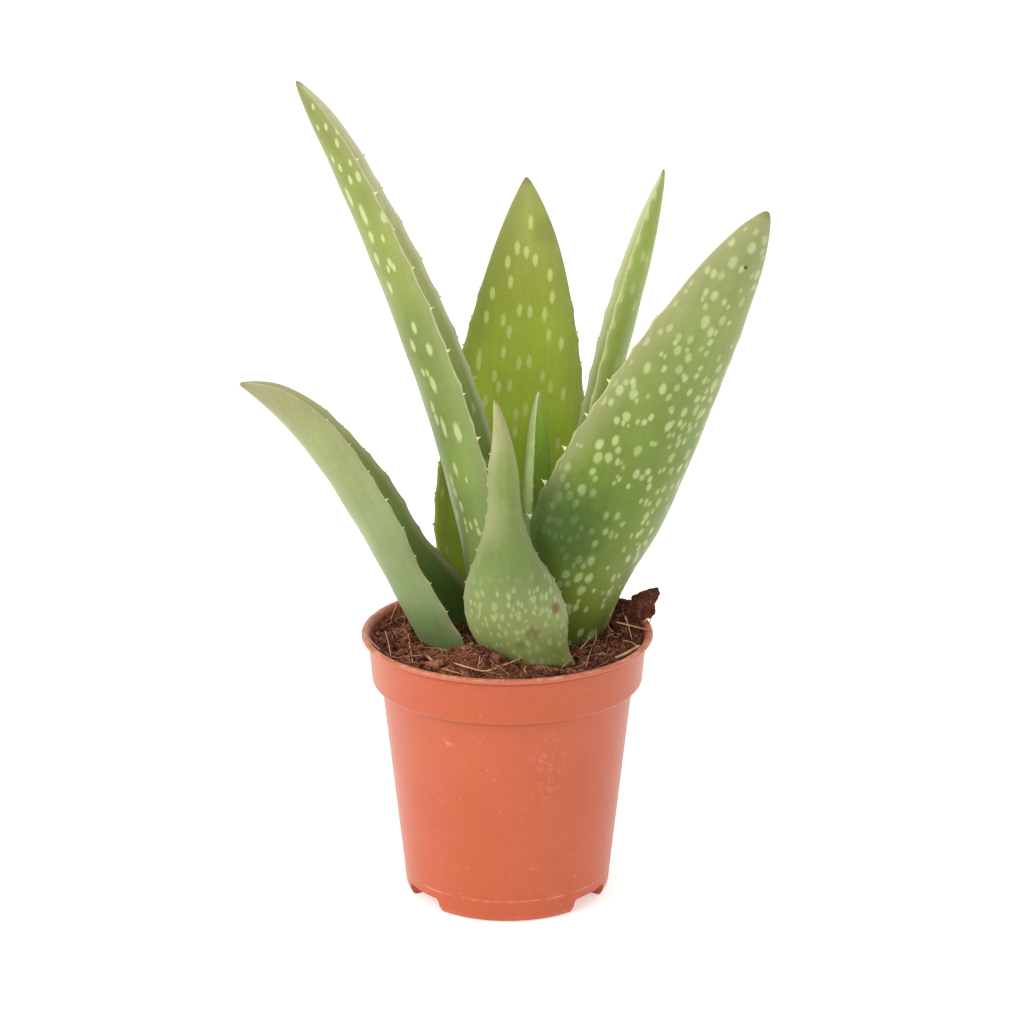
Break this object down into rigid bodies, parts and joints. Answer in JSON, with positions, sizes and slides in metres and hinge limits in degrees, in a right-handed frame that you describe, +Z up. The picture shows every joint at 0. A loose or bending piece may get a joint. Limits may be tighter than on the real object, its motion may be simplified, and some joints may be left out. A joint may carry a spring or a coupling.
{
  "type": "potted aloe plant",
  "caption": "Young spotted aloe with fleshy, toothed, pointed leaves fanned from a short rooted stem, in a round terracotta-coloured nursery pot of coir with notched feet.",
  "frame": {"origin": "on the pot's axis, in the plane that its feet stand on", "axes": "+Z up along the pot's axis, -Y towards the front, where a whole foot lies between two notches, +X to the right"},
  "size_m": [0.1834, 0.105, 0.2968],
  "materials": {
    "pot": "moulded polypropylene, satin, terracotta colour",
    "soil": "loose reddish-brown coir crumbs and fibres",
    "stem": "pale matt stem and roots",
    "husk": "torn coconut husk",
    "leaf": "waxy green skin with pale oval spots",
    "leaf_lit": "waxy yellow-green skin with pale spots",
    "leaf_grey": "waxy grey-green skin with a light bloom"
  },
  "bodies": {
    "root": {"pot": "pot", "soil": "soil", "stem_and_roots": "stem", "husk_chip": "husk", "leaf_tall_left": "leaf", "leaf_back": "leaf_lit", "leaf_thin_right": "leaf", "leaf_broad_right": "leaf", "leaf_low_left": "leaf_grey", "leaf_front": "leaf_grey", "leaf_inner": "leaf"}
  },
  "joints": []
}
